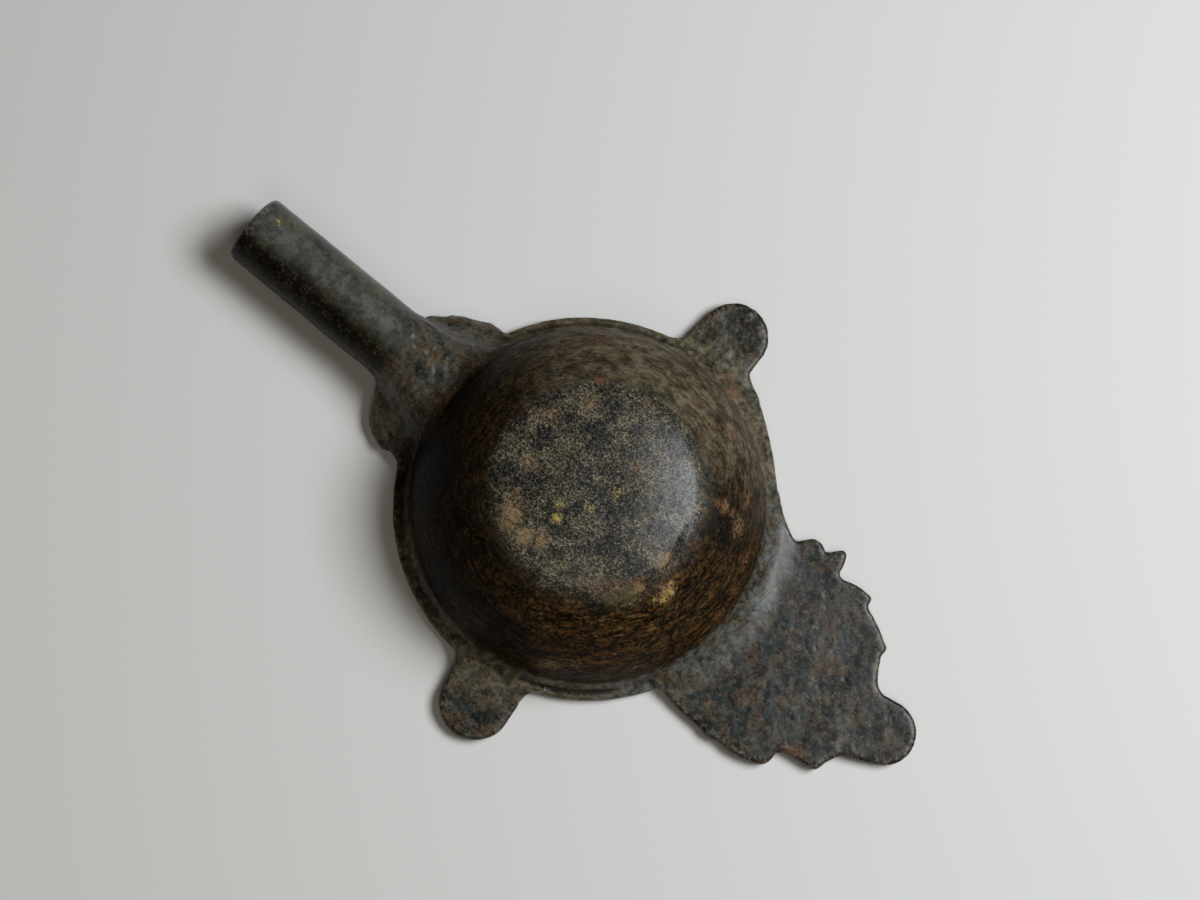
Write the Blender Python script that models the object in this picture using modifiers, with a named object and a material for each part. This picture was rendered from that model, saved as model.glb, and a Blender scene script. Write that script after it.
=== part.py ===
"""Oil lamp filler: one small casting in brass, lying mouth down with its base up.

A deep round bowl with a narrow lip, a straight tubular spout, a scalloped leaf
handle opposite it and two round ears, all springing from the plane of the lip.
The row's +X runs to the handle, -X along the spout, +Z up to the base. The
origin is the middle of the outline, on the plane that the lip rests on.
Distances in the comments are in millimetres from the bowl's own axis.
"""

import math

import bmesh
import bpy
from mathutils import Vector

NAME = "oil_lamp_filler"
MM = 0.001

# Bowl
LIP_RADIUS = 32.1 * MM  # outer edge of the lip
LIP_THICK = 2.5 * MM  # height of the lip's edge
LIP_EDGE_ROUND = 0.7 * MM  # rounding of the lip's upper edge
GROOVE_DEPTH = 0.35 * MM  # faint groove between lip and wall
LIP_FILLET = 1.1 * MM  # small fillet from the wall down to the groove
WALL_FOOT_RADIUS = 29.2 * MM  # outside of the wall just above the lip
WALL_FOOT_HEIGHT = 4.4 * MM  # where the wall starts
SHOULDER_RADIUS = 16.4 * MM  # edge of the base disc
SHOULDER_HEIGHT = 25.9 * MM
SHOULDER_ROUND = 1.4 * MM
BASE_FLAT_RADIUS = 9.0 * MM  # level middle of the base
BOWL_HEIGHT = 27.0 * MM
WALL_SAGITTA = 3.3 * MM  # how far the wall bulges beyond a straight cone
WALL_THICK = 2.2 * MM
BASE_THICK = 2.6 * MM
MOUTH_SPLAY = 0.35 * MM  # the hollow widens a little at the lip

# Spout
SPOUT_REACH = 71.8 * MM  # mouth of the spout
SPOUT_TIP_RADIUS = 6.0 * MM
SPOUT_ROOT_RADIUS = 6.2 * MM
SPOUT_AXIS_HEIGHT = 6.5 * MM
SPOUT_END_ROUND = 0.6 * MM
SPOUT_FLARE_START = 42.5 * MM  # the tube widens sideways from here to the bowl
SPOUT_FLARE_HALF_WIDTH = 10.0 * MM
BORE_RADIUS = 3.9 * MM

# Plate parts in the plane of the lip
PLATE_THICK = 2.6 * MM
PLATE_FILLET = 4.4 * MM  # hollow fillet between the plates and the wall
COLLAR_THICK = 3.7 * MM

# Handle
HANDLE_REACH = 66.2 * MM
HANDLE_HALF_WIDTH = 20.0 * MM

# Ears: direction in degrees, then sizes
EAR_A_ANGLE = 88.6
EAR_A_LOBE_AT = 38.2 * MM
EAR_A_LOBE_RADIUS = 5.75 * MM
EAR_A_NECK_HALF = 6.0 * MM
EAR_A_HANDLE_SIDE = (24.0 * MM, -0.045)  # a broad web runs on towards the handle
EAR_A_SPOUT_SIDE = (8.6 * MM, 0.20)
EAR_B_ANGLE = -79.9
EAR_B_LOBE_AT = 37.3 * MM
EAR_B_LOBE_RADIUS = 5.95 * MM
EAR_B_NECK_HALF = 6.2 * MM
EAR_B_SPOUT_SIDE = (8.5 * MM, 0.20)
EAR_B_HANDLE_SIDE = (8.5 * MM, 0.20)

# Helpers: every part starts this far below the rest plane and is cut level,
# and the plates' outlines rise past the top of their fillet.
BELOW_REST = 1.0 * MM
OUTLINE_TOP = PLATE_THICK + PLATE_FILLET * 1.45

# Facets
ROUND_STEPS = 80
TUBE_STEPS = 40

EAR_A_REACH = EAR_A_LOBE_AT * math.sin(math.radians(EAR_A_ANGLE)) + EAR_A_LOBE_RADIUS
EAR_B_REACH = -EAR_B_LOBE_AT * math.sin(math.radians(EAR_B_ANGLE)) + EAR_B_LOBE_RADIUS
AXIS_X = (SPOUT_REACH - HANDLE_REACH) / 2
AXIS_Y = (EAR_B_REACH - EAR_A_REACH) / 2

# The handle's rim as arcs: along from the lip to the tip, across from the
# middle line (both as shares of the handle's own length and half width), and
# how far the arc that starts here bulges outward, as a share of its chord.
HANDLE_ARCS = [
    (-0.40, -0.62, 0.00),
    (-0.15, -0.775, -0.03),
    (-0.02, -0.80, 0.11),
    (0.288, -0.80, 0.25),
    (0.518, -0.60, -0.10),
    (0.545, -0.525, 0.05),
    (0.698, -0.502, -0.10),
    (0.775, -0.265, 0.04),
    (0.978, -0.020, 0.42),
    (0.752, 0.372, 0.00),
    (0.706, 0.374, -0.10),
    (0.638, 0.541, 0.24),
    (0.535, 0.720, 0.06),
    (0.425, 0.850, 0.22),
    (0.240, 0.918, 0.36),
    (0.092, 0.988, 0.28),
    (-0.026, 0.912, -0.03),
    (-0.255, 1.110, 0.00),
    (-0.40, 0.80, 0.00),
]

# The collar's two small lobes, one each side of the spout's root, in the same
# way: distance from the bowl's axis as a share of the lip radius, across as a
# share of the flare's half width.
COLLAR_ARCS = [
    (-0.82, 1.36, 0.00),
    (-0.92, 1.38, 0.14),
    (-1.06, 1.22, 0.08),
    (-1.215, 0.88, 0.16),
    (-1.28, 0.58, 0.00),
    (-1.25, -0.60, 0.05),
    (-1.195, -0.83, 0.16),
    (-1.065, -1.35, 0.22),
    (-0.975, -1.36, -0.05),
    (-0.86, -1.50, 0.00),
]


def arc(p, q, share, steps):
    """Points from p up to q on the arc that bulges to the right of p to q."""
    p, q = Vector(p), Vector(q)
    if abs(share) < 1e-6:
        return [tuple(p)]
    chord = q - p
    length = chord.length
    rise = abs(share) * length
    radius = (length * length / 4 + rise * rise) / (2 * rise)
    out = Vector((chord.y, -chord.x)).normalized() * (1 if share > 0 else -1)
    middle = (p + q) / 2 + out * (rise - radius)
    first = p - middle
    half = math.asin(max(-1.0, min(1.0, length / 2 / radius)))
    if rise > radius:
        half = math.pi - half
    turn = 2 * half * (1 if share > 0 else -1)
    points = []
    for i in range(steps):
        a = turn * i / steps
        c, s = math.cos(a), math.sin(a)
        points.append((middle.x + c * first.x - s * first.y, middle.y + s * first.x + c * first.y))
    return points


def arcs_outline(rows, place, steps):
    """Closed outline from rows of (along, across, bulge) laid out by place."""
    spots = [place(a, b) for a, b, _ in rows]
    points = []
    for i, (_, _, share) in enumerate(rows):
        points += arc(spots[i], spots[(i + 1) % len(rows)], share, steps)
    return points


def collection(name):
    group = bpy.data.collections.new(name)
    bpy.context.scene.collection.children.link(group)
    return group


def add(name, mesh, group):
    piece = bpy.data.objects.new(name, mesh)
    group.objects.link(piece)
    return piece


def hide(piece):
    piece.hide_render = True
    piece.display_type = "WIRE"


def turned(name, profile, group, steps=ROUND_STEPS):
    """Solid of revolution; the profile runs from the axis at the top, down the
    outer side, to the axis at the bottom."""
    mesh = bpy.data.meshes.new(name)
    mesh.from_pydata([(r, 0.0, z) for r, z in profile], [(i, i + 1) for i in range(len(profile) - 1)], [])
    piece = add(name, mesh, group)
    screw = piece.modifiers.new("turn", "SCREW")
    screw.axis = "Z"
    screw.angle = math.tau
    screw.steps = steps
    screw.render_steps = steps
    screw.use_merge_vertices = True
    screw.merge_threshold = 0.00001
    piece.location = (AXIS_X, AXIS_Y, 0.0)
    return piece


def slab(name, outline, bottom, top, group):
    """Upright solid with the given outline, as a filled and raised curve."""
    curve = bpy.data.curves.new(name + "_line", "CURVE")
    curve.dimensions = "2D"
    curve.fill_mode = "BOTH"
    curve.extrude = (top - bottom) / 2
    line = curve.splines.new("POLY")
    line.points.add(len(outline) - 1)
    for point, (x, y) in zip(line.points, outline):
        point.co = (x, y, 0.0, 1.0)
    line.use_cyclic_u = True
    drawn = bpy.data.objects.new(name + "_line", curve)
    mesh = bpy.data.meshes.new_from_object(drawn)
    bpy.data.objects.remove(drawn)
    shape = bmesh.new()
    shape.from_mesh(mesh)
    bmesh.ops.remove_doubles(shape, verts=shape.verts, dist=1e-6)
    bmesh.ops.translate(shape, verts=shape.verts, vec=(AXIS_X, AXIS_Y, (top + bottom) / 2))
    bmesh.ops.recalc_face_normals(shape, faces=shape.faces)
    shape.to_mesh(mesh)
    shape.free()
    return add(name, mesh, group)


def lofted(name, rings, group, steps=TUBE_STEPS):
    """Solid through upright oval rings: (x, half width, half height, height)."""
    shape = bmesh.new()
    loops = []
    for x, half_y, half_z, height in rings:
        loop = []
        for i in range(steps):
            a = math.tau * i / steps
            spot = (AXIS_X + x, AXIS_Y + half_y * math.cos(a), height + half_z * math.sin(a))
            loop.append(shape.verts.new(spot))
        loops.append(loop)
    for one, two in zip(loops, loops[1:]):
        for i in range(steps):
            j = (i + 1) % steps
            shape.faces.new((one[i], one[j], two[j], two[i]))
    shape.faces.new(loops[0])
    shape.faces.new(loops[-1])
    bmesh.ops.recalc_face_normals(shape, faces=shape.faces)
    mesh = bpy.data.meshes.new(name)
    shape.to_mesh(mesh)
    shape.free()
    return add(name, mesh, group)


def combine(piece, other, how):
    step = piece.modifiers.new(how.lower() + "_" + other.name, "BOOLEAN")
    step.operation = how
    step.solver = "EXACT"
    step.object = other
    hide(other)


def bowl_outside():
    """Outer side of the bowl, from the middle of the base down to the rest plane."""
    points = [(0.0, BOWL_HEIGHT), (BASE_FLAT_RADIUS, BOWL_HEIGHT)]
    # The base falls away gently to its soft shoulder.
    edge = (SHOULDER_RADIUS - SHOULDER_ROUND, SHOULDER_HEIGHT + SHOULDER_ROUND * 0.35)
    for i in range(1, 4):
        t = i / 4
        r = BASE_FLAT_RADIUS + (edge[0] - BASE_FLAT_RADIUS) * t
        z = BOWL_HEIGHT + (edge[1] - BOWL_HEIGHT) * t * t
        points.append((r, z))
    points.append(edge)
    start = (SHOULDER_RADIUS, SHOULDER_HEIGHT - SHOULDER_ROUND * 0.25)
    points.append((SHOULDER_RADIUS - SHOULDER_ROUND * 0.45, SHOULDER_HEIGHT + SHOULDER_ROUND * 0.1))
    foot = (WALL_FOOT_RADIUS, WALL_FOOT_HEIGHT)
    chord = math.hypot(foot[0] - start[0], foot[1] - start[1])
    # The arc bulges outward, which is to the left of the way down.
    wall = arc((-start[0], start[1]), (-foot[0], foot[1]), WALL_SAGITTA / chord, 14)
    points += [(-x, z) for x, z in wall]
    points.append(foot)
    # Small fillet, faint groove and the lip's own rounded edge
    floor = LIP_THICK - GROOVE_DEPTH
    inner = WALL_FOOT_RADIUS + LIP_FILLET
    drop = WALL_FOOT_HEIGHT - floor
    for i in range(1, 5):
        a = math.radians(90 * i / 4)
        points.append((inner - (inner - WALL_FOOT_RADIUS) * math.cos(a), floor + drop * (1 - math.sin(a))))
    bead = LIP_RADIUS - LIP_EDGE_ROUND
    points.append((inner + (bead - inner) * 0.6, LIP_THICK - GROOVE_DEPTH * 0.35))
    for i in range(0, 4):
        a = math.radians(90 * i / 3)
        points.append((bead + LIP_EDGE_ROUND * math.sin(a), LIP_THICK - LIP_EDGE_ROUND * (1 - math.cos(a))))
    points.append((LIP_RADIUS, -BELOW_REST))
    points.append((0.0, -BELOW_REST))
    return points


def bowl_inside():
    """The hollow: an even wall under the outer side, open at the mouth."""
    top = BOWL_HEIGHT - BASE_THICK
    start = (SHOULDER_RADIUS - WALL_THICK * 0.7, SHOULDER_HEIGHT - WALL_THICK)
    foot = (WALL_FOOT_RADIUS - WALL_THICK, WALL_FOOT_HEIGHT)
    points = [(0.0, top), (BASE_FLAT_RADIUS, top - BASE_THICK * 0.04)]
    points.append(((BASE_FLAT_RADIUS + start[0]) / 2, top - 0.45 * (top - start[1])))
    chord = math.hypot(foot[0] - start[0], foot[1] - start[1])
    wall = arc((-start[0], start[1]), (-foot[0], foot[1]), WALL_SAGITTA * 0.98 / chord, 12)
    points += [(-x, z) for x, z in wall]
    points.append(foot)
    # A little splay at the mouth, as the pattern was drawn from the mould
    points.append((foot[0] + MOUTH_SPLAY, LIP_THICK * 0.25))
    points.append((foot[0] + MOUTH_SPLAY, -BELOW_REST * 3))
    points.append((0.0, -BELOW_REST * 3))
    return points


def flange_profile():
    """Broad sheet with the hollow fillet up against the wall."""
    wall = WALL_FOOT_RADIUS - PLATE_FILLET * 0.11
    top = PLATE_THICK + PLATE_FILLET
    far = max(HANDLE_REACH, EAR_A_REACH, EAR_B_REACH) * 1.15
    points = [(0.0, top), (wall, top)]
    for i in range(1, 7):
        a = math.radians(90 * i / 6)
        points.append((wall + PLATE_FILLET * (1 - math.cos(a)), top - PLATE_FILLET * math.sin(a)))
    points += [(far, PLATE_THICK), (far, -BELOW_REST * 6), (0.0, -BELOW_REST * 6)]
    return points


def ear_outline(direction, neck, lobe_at, lobe_radius, first, last):
    """Round lobe on a short neck, running out on the lip. For each side, first and
    last give how far across it reaches the lip and how far that run hollows in."""
    c, s = math.cos(math.radians(direction)), math.sin(math.radians(direction))

    def place(along, across):
        return (c * along - s * across, s * along + c * across)

    def on_lip(across, share):
        turn = math.asin(across / LIP_RADIUS)
        return place(LIP_RADIUS * share * math.cos(turn), LIP_RADIUS * share * math.sin(turn))

    neck_at = LIP_RADIUS + (lobe_at - LIP_RADIUS) * 0.45
    points = [on_lip(-first[0], 0.86), on_lip(last[0], 0.86)]
    points += arc(on_lip(last[0], 0.992), place(neck_at, neck), last[1], 5)
    points += arc(place(neck_at, neck), place(lobe_at, lobe_radius), 0.02, 2)
    for i in range(0, 17):
        a = math.pi / 2 - math.pi * i / 16
        points.append(place(lobe_at + lobe_radius * math.cos(a), lobe_radius * math.sin(a)))
    points += arc(place(neck_at, -neck), on_lip(-first[0], 0.992), first[1], 7)
    points.append(on_lip(-first[0], 0.992))
    return points


def metal():
    material = bpy.data.materials.new("dark_patinated_brass")
    material.use_nodes = True
    shader = material.node_tree.nodes["Principled BSDF"]
    shader.inputs["Base Color"].default_value = (0.055, 0.043, 0.030, 1.0)
    shader.inputs["Roughness"].default_value = 0.5
    shader.inputs["Metallic"].default_value = 0.55
    return material


def build():
    for piece in list(bpy.data.objects):
        bpy.data.objects.remove(piece)
    body_group = collection(NAME)
    cutters = collection("cutters")

    body = turned(NAME, bowl_outside(), body_group)

    # Every part reaches a little below the rest plane and is cut level at the end.
    # Plate parts: one broad filleted sheet, kept only inside the outlines
    span = HANDLE_REACH - LIP_RADIUS
    handle = slab(
        "handle_outline",
        arcs_outline(HANDLE_ARCS, lambda a, b: (LIP_RADIUS + a * span, b * HANDLE_HALF_WIDTH), 6),
        -BELOW_REST * 1.4, OUTLINE_TOP, cutters,
    )
    ear_a = slab(
        "ear_a_outline",
        ear_outline(
            EAR_A_ANGLE, EAR_A_NECK_HALF, EAR_A_LOBE_AT, EAR_A_LOBE_RADIUS,
            EAR_A_HANDLE_SIDE, EAR_A_SPOUT_SIDE,
        ),
        -BELOW_REST * 1.8, OUTLINE_TOP, cutters,
    )
    ear_b = slab(
        "ear_b_outline",
        ear_outline(
            EAR_B_ANGLE, EAR_B_NECK_HALF, EAR_B_LOBE_AT, EAR_B_LOBE_RADIUS,
            EAR_B_SPOUT_SIDE, EAR_B_HANDLE_SIDE,
        ),
        -BELOW_REST * 2.2, OUTLINE_TOP, cutters,
    )
    for n, plate in enumerate((handle, ear_a, ear_b)):
        flange = turned("flange_%d" % n, flange_profile(), cutters, 72)
        flange.rotation_euler = (0.0, 0.0, math.radians(1.3 + n))
        combine(plate, flange, "INTERSECT")
        combine(body, plate, "UNION")

    collar = slab(
        "collar",
        arcs_outline(COLLAR_ARCS, lambda a, b: (a * LIP_RADIUS, b * SPOUT_FLARE_HALF_WIDTH), 5),
        -BELOW_REST * 2.6, COLLAR_THICK, cutters,
    )
    combine(body, collar, "UNION")

    # Spout: a straight tube whose root widens sideways into the bowl
    height = SPOUT_AXIS_HEIGHT
    rings = [(-SPOUT_REACH, SPOUT_TIP_RADIUS - SPOUT_END_ROUND, SPOUT_TIP_RADIUS - SPOUT_END_ROUND, height)]
    for i in range(1, 4):
        a = math.radians(90 * i / 3)
        r = SPOUT_TIP_RADIUS - SPOUT_END_ROUND * (1 - math.sin(a))
        rings.append((-SPOUT_REACH + SPOUT_END_ROUND * (1 - math.cos(a)), r, r, height))
    rings.append((-SPOUT_FLARE_START, SPOUT_ROOT_RADIUS, SPOUT_ROOT_RADIUS, height))
    inner = WALL_FOOT_RADIUS - WALL_THICK * 1.6
    for i in range(1, 7):
        t = i / 6
        x = SPOUT_FLARE_START + (WALL_FOOT_RADIUS - WALL_THICK * 0.45 - SPOUT_FLARE_START) * t
        wide = SPOUT_ROOT_RADIUS + (SPOUT_FLARE_HALF_WIDTH - SPOUT_ROOT_RADIUS) * t**1.6
        rings.append((-x, wide, SPOUT_ROOT_RADIUS, height))
    rings.append((-inner, SPOUT_FLARE_HALF_WIDTH, SPOUT_ROOT_RADIUS, height))
    spout = lofted("spout_tube", rings, cutters)
    combine(body, spout, "UNION")

    mesh = bpy.data.meshes.new("below_rest_plane")
    shape = bmesh.new()
    bmesh.ops.create_cube(shape, size=1.0)
    bmesh.ops.scale(shape, verts=shape.verts, vec=(4 * SPOUT_REACH, 4 * SPOUT_REACH, BELOW_REST * 10))
    bmesh.ops.translate(shape, verts=shape.verts, vec=(0.0, 0.0, -BELOW_REST * 5))
    shape.to_mesh(mesh)
    shape.free()
    combine(body, add("below_rest_plane", mesh, cutters), "DIFFERENCE")

    hollow = turned("bowl_hollow", bowl_inside(), cutters, 72)
    combine(body, hollow, "DIFFERENCE")
    bore = lofted(
        "spout_bore",
        [
            (-SPOUT_REACH * 1.07, BORE_RADIUS, BORE_RADIUS, height),
            (-WALL_FOOT_RADIUS * 0.62, BORE_RADIUS, BORE_RADIUS, height),
        ],
        cutters,
        28,
    )
    combine(body, bore, "DIFFERENCE")

    body.data.materials.append(metal())
    turn = body.modifiers["turn"]
    turn.use_smooth_shade = True


build()
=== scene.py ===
"""Oil lamp filler: the fine, worn casting and its dark patina, around the solids.

The casting is modelled whole, as it was poured: a turned bowl, flat outlines for
the handle, ears and collar, and a pulled spout, joined, rounded and roughened.
All lengths are in metres, in the frame of the solids.
"""

import math

import bpy
import mathutils
import numpy as np
from mathutils import Matrix, Vector
from mathutils.kdtree import KDTree


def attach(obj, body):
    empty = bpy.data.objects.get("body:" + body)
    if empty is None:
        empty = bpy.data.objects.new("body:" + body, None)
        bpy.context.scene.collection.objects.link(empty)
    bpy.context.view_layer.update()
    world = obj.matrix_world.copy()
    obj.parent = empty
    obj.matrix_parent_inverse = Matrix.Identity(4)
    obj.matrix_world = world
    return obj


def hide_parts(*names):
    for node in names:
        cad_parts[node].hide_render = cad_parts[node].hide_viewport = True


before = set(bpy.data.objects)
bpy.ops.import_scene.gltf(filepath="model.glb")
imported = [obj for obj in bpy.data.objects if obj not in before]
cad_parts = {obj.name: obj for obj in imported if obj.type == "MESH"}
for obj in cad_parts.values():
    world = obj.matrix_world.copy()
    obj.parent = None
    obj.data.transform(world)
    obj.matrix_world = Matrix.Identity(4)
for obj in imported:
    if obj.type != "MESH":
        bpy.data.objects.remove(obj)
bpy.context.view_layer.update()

MM = 0.001

# Bowl, measured from its own axis
AXIS_X = 2.8 * MM
AXIS_Y = -0.63 * MM
LIP_RADIUS = 32.1 * MM
LIP_THICK = 2.5 * MM
LIP_EDGE_ROUND = 0.7 * MM
LIP_BEAD_WIDTH = 1.1 * MM
GROOVE_DEPTH = 0.45 * MM
GROOVE_WIDTH = 0.55 * MM
LIP_FILLET = 1.9 * MM
WALL_FOOT_RADIUS = 29.2 * MM
WALL_FOOT_HEIGHT = 4.8 * MM
SHOULDER_RADIUS = 16.4 * MM
SHOULDER_HEIGHT = 25.9 * MM
SHOULDER_ROUND = 2.2 * MM
BASE_FLAT_RADIUS = 3.0 * MM
BASE_CROWN = 1.25 * MM
BOWL_HEIGHT = 27.0 * MM
WALL_SAGITTA = 3.3 * MM
WALL_THICK = 2.2 * MM
BASE_THICK = 2.6 * MM
MOUTH_SPLAY = 0.35 * MM

# Spout
SPOUT_REACH = 71.8 * MM
SPOUT_TIP_RADIUS = 6.0 * MM
SPOUT_ROOT_RADIUS = 6.2 * MM
SPOUT_HEIGHT = 6.5 * MM
SPOUT_END_ROUND = 0.6 * MM
SPOUT_FLARE_START = 42.5 * MM
SPOUT_FLARE_HALF_WIDTH = 10.0 * MM
BORE_RADIUS = 3.9 * MM

# Plates in the plane of the lip
PLATE_THICK = 2.6 * MM
PLATE_FILLET = 4.4 * MM
FILLET_REACH = 7.4 * MM
COLLAR_TOP = 11.6 * MM
COLLAR_BELL_AT = -30.0 * MM
HANDLE_REACH = 66.2 * MM
HANDLE_HALF_WIDTH = 20.0 * MM

# Everything starts a little under the rest plane and is cut level with it
BELOW_REST = 1.0 * MM
OUTLINE_TOP = PLATE_THICK + PLATE_FILLET * 1.45

# Skin of the casting
SKIN_GRID = 0.39 * MM
KEPT_SHARE = 0.62
SIDES = 144

# Handle's edge as arcs, in shares of its reach and half width: along, across, bulge of the arc from there
HANDLE_ARCS = [
    (-0.40, -0.62, 0.00), (-0.15, -0.775, -0.03), (-0.02, -0.805, 0.03), (0.170, -0.822, 0.14),
    (0.268, -0.808, 0.07), (0.450, -0.768, 0.24), (0.516, -0.590, -0.12), (0.558, -0.530, 0.00),
    (0.716, -0.488, 0.00), (0.724, -0.462, -0.07), (0.779, -0.246, 0.03), (0.965, -0.100, 0.36),
    (0.860, 0.388, 0.02), (0.765, 0.362, -0.10), (0.702, 0.392, -0.05), (0.638, 0.566, -0.10),
    (0.624, 0.612, 0.32), (0.594, 0.700, 0.05), (0.500, 0.794, 0.03), (0.428, 0.842, -0.10),
    (0.424, 0.872, 0.34), (0.392, 0.934, 0.05), (0.300, 0.926, -0.03), (0.226, 0.896, -0.14),
    (0.218, 0.950, 0.02), (0.200, 1.040, 0.30), (0.152, 1.078, 0.02), (0.110, 0.984, -0.12),
    (0.086, 0.994, 0.24), (-0.014, 0.955, 0.05), (-0.040, 0.886, -0.06), (-0.255, 1.110, 0.00),
    (-0.40, 0.80, 0.00),
]

# Collar's edge in the same way, in shares of the lip's radius and the flare's half width
COLLAR_ARCS = [
    (-0.82, 1.36, 0.00), (-0.92, 1.38, 0.14), (-1.06, 1.22, 0.08), (-1.215, 0.88, 0.16),
    (-1.28, 0.58, 0.00), (-1.25, -0.60, 0.05), (-1.195, -0.83, 0.16), (-1.065, -1.35, 0.22),
    (-0.975, -1.36, -0.05), (-0.86, -1.50, 0.00),
]

# Bell that the collar is cut from: radius and height, in mm
COLLAR_BELL = [
    (5.0, 11.6), (6.2, 10.8), (7.4, 9.3), (8.6, 7.7), (10.0, 6.1), (11.6, 4.8),
    (13.2, 3.9), (15.0, 3.2), (17.2, 2.7), (20.0, 2.45), (20.0, -3.0),
]

# Each ear: direction in degrees, neck half width, where the lobe is, its radius,
# and for each side how far across it meets the lip and how much it hollows in
EARS = {
    "ear_upper": (88.6, 6.0 * MM, 38.2 * MM, 5.75 * MM, (24.0 * MM, -0.045), (8.6 * MM, 0.20)),
    "ear_lower": (-79.9, 6.2 * MM, 37.3 * MM, 5.95 * MM, (8.5 * MM, 0.20), (8.5 * MM, 0.20)),
}
# How deep an ear is sunk into the lip and where its curves start, in shares of the lip's radius,
# and where its neck is narrowest, as a share of the way to the lobe
EAR_SUNK = 0.86
EAR_START = 0.992
EAR_NECK_SHARE = 0.45

# Radius that parts the hollow from the wall: height over the rest plane and radius, in mm
INSIDE_WALL = [
    (0.0, 28.2), (4.4, 28.1), (10.0, 27.3), (14.0, 25.8),
    (18.5, 22.8), (21.0, 20.2), (23.7, 15.9), (24.6, 15.0),
]
HOLLOW_TOP = 25.7 * MM

# Stretches of the lip with a groove that shows, in degrees about the bowl's axis, and how deep it is
FREE_LIP = [(-74.0, -40.0, 1.0), (102.0, 152.0, 0.45)]
LIP_GROOVE_AT = 30.75 * MM
LIP_GROOVE_DEPTH = 0.34 * MM
LIP_GROOVE_SPREAD = 0.36 * MM

# Crevice outside the base's shoulder, through places in mm from the bowl's axis
CREVICE = [
    (14.9, 4.0, 25.9), (16.0, 0.4, 25.4), (16.8, -3.3, 25.0), (16.9, -5.6, 24.6),
    (16.4, -7.6, 24.4), (15.6, -9.6, 24.2), (14.5, -12.1, 24.0), (12.6, -14.4, 23.9),
]
CREVICE_DEPTH = 0.42 * MM
CREVICE_WIDTH = 0.40 * MM

# Cast pits: how deep the middle and how high the rim is for each unit of depth, and the deepest of all
PIT_MIDDLE = 1.6
PIT_RIM = 0.147
PIT_LIMIT = 0.42 * MM

# Dabs on the skin: x, y, z in mm from the bowl's axis, radius in mm and strength
# Crust of thick patina, raised over the skin; the first part of it is rusty too
RUSTY_CRUST = [
    (16.2, 10.7, 23.5, 1.0, 0.70), (17.6, 10.8, 22.5, 1.2, 0.80), (19.0, 11.3, 21.2, 1.0, 0.65),
    (13.8, -4.7, 27.0, 1.1, 0.90), (25.4, 7.7, 14.9, 2.2, 0.50), (27.3, 3.2, 12.8, 2.2, 0.48),
    (28.0, -1.2, 11.2, 2.4, 0.48), (28.2, -6.0, 8.0, 2.4, 0.45), (19.7, 15.1, 18.0, 2.0, 0.50),
    (10.3, 21.9, 18.7, 2.4, 0.45), (-18.0, -20.0, 9.0, 6.0, 0.30), (-27.0, -6.0, 10.0, 6.0, 0.30),
]
CRUST_DABS = RUSTY_CRUST + [
    (18.6, -4.0, 23.9, 0.8, 0.8), (19.3, -5.4, 23.0, 0.9, 1.0), (19.1, -6.7, 22.9, 0.9, 1.0),
    (18.1, -7.3, 23.5, 0.8, 0.9), (13.8, -4.7, 26.9, 1.1, 0.6), (12.2, -11.0, 25.9, 1.6, 0.5),
    (-7.9, -12.2, 26.8, 1.6, 0.4), (17.6, 10.9, 22.4, 1.2, 0.5),
]

# Casting holes in the collar's two lobes
COLLAR_HOLES = [(-36.8, 8.8, 5.0, 0.9, 1.0), (-32.6, -12.0, 4.4, 0.7, 0.8), (-31.2, 11.4, 4.7, 0.6, 0.7)]
COLLAR_HOLE_DEPTH = 0.55 * MM

# Where the patina is worn bright or stained; the large black dabs on the left of the wall are painted shade
BRIGHT_DABS = [
    (-1.8, -8.1, 27.0, 0.9, 0.80), (-2.8, -6.2, 27.0, 1.0, 0.50), (1.3, -3.6, 27.0, 0.7, 0.55),
    (2.9, 1.0, 27.0, 1.2, 0.38), (18.6, -4.0, 23.9, 0.7, 0.45), (19.4, -5.2, 23.0, 0.9, 0.62),
    (19.2, -6.8, 22.9, 1.0, 0.60), (18.2, -8.0, 23.3, 0.8, 0.50), (-68.1, 2.6, 12.0, 0.8, 0.55),
]
TAN_DABS = [
    (14.6, -3.4, 26.7, 1.0, 0.70), (15.7, -2.0, 26.3, 1.8, 0.85), (15.1, -8.2, 25.1, 1.4, 0.80),
    (12.7, -10.6, 26.0, 1.6, 0.60), (18.8, -5.2, 23.5, 2.0, 0.60), (-7.9, -11.9, 27.0, 2.6, 0.85),
    (-7.6, -13.6, 26.4, 2.2, 0.75), (-4.0, -13.6, 27.0, 2.2, 0.85), (-1.5, -12.4, 27.0, 1.6, 0.85),
    (3.6, -13.5, 27.0, 1.4, 0.60), (-10.8, -3.8, 27.0, 2.2, 0.52), (-13.2, 4.3, 26.6, 2.4, 0.52),
    (-9.9, 9.7, 26.8, 2.4, 0.52), (-3.5, 11.8, 26.8, 1.8, 0.38), (-2.8, 15.8, 26.2, 1.8, 0.45),
    (2.6, 6.3, 27.0, 2.2, 0.41), (4.8, 10.4, 27.0, 1.6, 0.41), (8.7, 0.9, 27.0, 1.8, 0.38),
    (-9.4, -9.0, 26.6, 1.8, 0.45), (12.0, -24.9, 12.4, 2.2, 0.52), (15.0, -22.7, 13.6, 1.8, 0.38),
    (16.0, -26.5, 8.0, 2.4, 0.45), (21.5, 10.5, 19.6, 2.4, 0.45), (17.4, 11.6, 22.4, 1.2, 0.52),
    (-54.0, 4.5, 9.0, 1.8, 0.45),
]
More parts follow.
